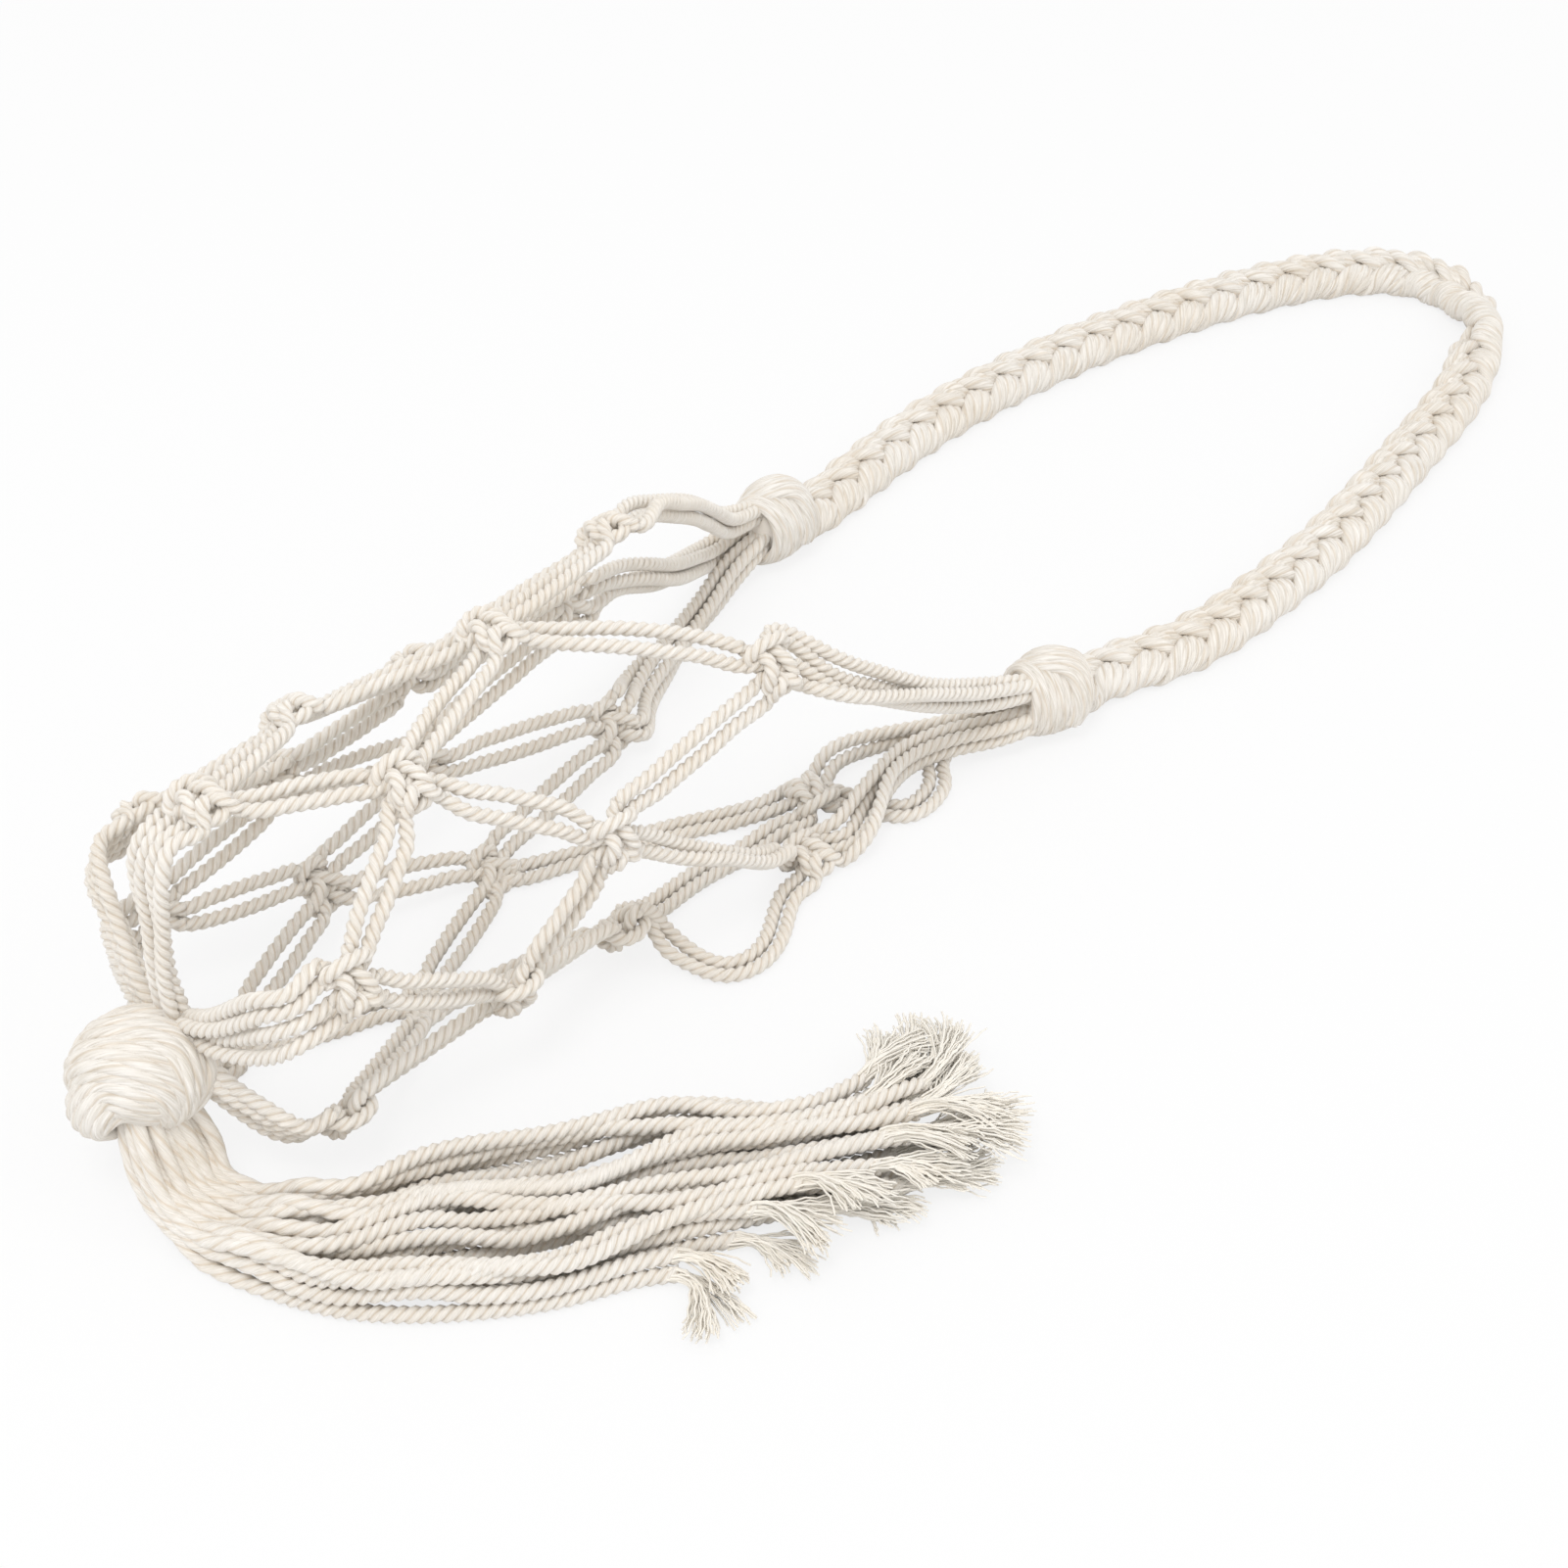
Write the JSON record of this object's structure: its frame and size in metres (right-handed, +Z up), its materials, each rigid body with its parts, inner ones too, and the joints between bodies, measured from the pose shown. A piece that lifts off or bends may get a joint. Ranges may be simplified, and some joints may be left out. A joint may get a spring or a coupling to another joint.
{
  "type": "bottle carrier",
  "caption": "Knotted cord net carrier for one bottle, lying in the shape it takes round the bottle, with a gathered bottom knot, a long tassel and a plaited loop handle.",
  "frame": {"origin": "centre of the base of the bottle that the net holds", "axes": "+X along the bottle from its base to its neck and on to the handle, +Z up, as the carrier lies on its side"},
  "size_m": [0.5182, 0.219, 0.0879],
  "materials": {
    "cord": "matte twisted cotton cord",
    "knots": "matte twisted cotton cord, knotted tight",
    "plait": "matte twisted cotton cord, plaited",
    "frayed_ends": "soft untwisted cotton ends"
  },
  "bodies": {
    "net": {"knot_a1": "knots", "knot_a2": "knots", "knot_a3": "knots", "knot_a4": "knots", "knot_a5": "knots", "knot_a6": "knots", "knot_b1": "knots", "knot_b2": "knots", "knot_b3": "knots", "knot_b4": "knots", "knot_b5": "knots", "knot_b6": "knots", "knot_c1": "knots", "knot_c2": "knots", "knot_c3": "knots", "knot_c4": "knots", "knot_c5": "knots", "knot_c6": "knots", "knot_d1": "knots", "knot_d2": "knots", "knot_d3": "knots", "knot_d4": "knots", "knot_d5": "knots", "knot_d6": "knots", "base_cords_1": "cord", "base_cords_2": "cord", "base_cords_3": "cord", "base_cords_4": "cord", "base_cords_5": "cord", "base_cords_6": "cord", "mesh_cords_ab": "cord", "mesh_cords_bc": "cord", "mesh_cords_cd": "cord", "neck_cords_1": "cord", "neck_cords_2": "cord", "neck_cords_3": "cord", "neck_cords_4": "cord", "neck_cords_5": "cord", "neck_cords_6": "cord", "bottom_knot": "knots", "near_handle_knot": "knots", "far_handle_knot": "knots"},
    "handle": {"plait_strand_1": "plait", "plait_strand_2": "plait", "plait_strand_3": "plait"},
    "tassel": {"tassel_cords_lower": "cord", "tassel_cords_middle": "cord", "tassel_cords_upper": "cord", "tassel_fringe": "frayed_ends"}
  },
  "joints": [
    {"name": "handle_swing", "type": "hinge", "parent": "net", "child": "handle", "pos_m": [0.233, 0, -0.031], "axis": [0, -1, 0], "range_deg": [0, 120]},
    {"name": "tassel_swing", "type": "hinge", "parent": "net", "child": "tassel", "pos_m": [-0.022, 0, -0.0213], "axis": [0, 0, 1], "range_deg": [-120, 5]}
  ]
}
